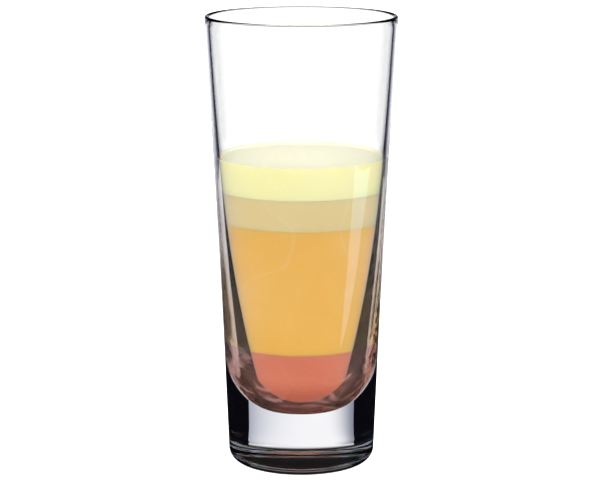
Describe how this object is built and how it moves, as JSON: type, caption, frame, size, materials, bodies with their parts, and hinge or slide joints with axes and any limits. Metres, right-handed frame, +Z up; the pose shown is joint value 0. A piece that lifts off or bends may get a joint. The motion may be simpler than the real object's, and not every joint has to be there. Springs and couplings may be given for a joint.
{
  "type": "mai tai",
  "caption": "Layered mai tai in a tall, tapering, thick-based glass: red, orange, tan and pale yellow layers with free space up to the rim.",
  "frame": {"origin": "centre of the base, on the surface that the glass stands on", "axes": "+Z up along the axis of the glass; the form is turned, so +X and +Y are free, and -Y is the side that the picture shows"},
  "size_m": [0.0678, 0.0678, 0.16],
  "materials": {
    "glass": "clear polished soda-lime glass",
    "drink_red": "cloudy red syrup layer, wet",
    "drink_orange": "cloudy orange juice layer, wet",
    "drink_tan": "cloudy tan layer, wet",
    "drink_yellow": "pale yellow juice layer, wet"
  },
  "bodies": {
    "root": {"glass": "glass", "layer_red": "drink_red", "layer_orange": "drink_orange", "layer_tan": "drink_tan", "layer_yellow": "drink_yellow"}
  },
  "joints": []
}
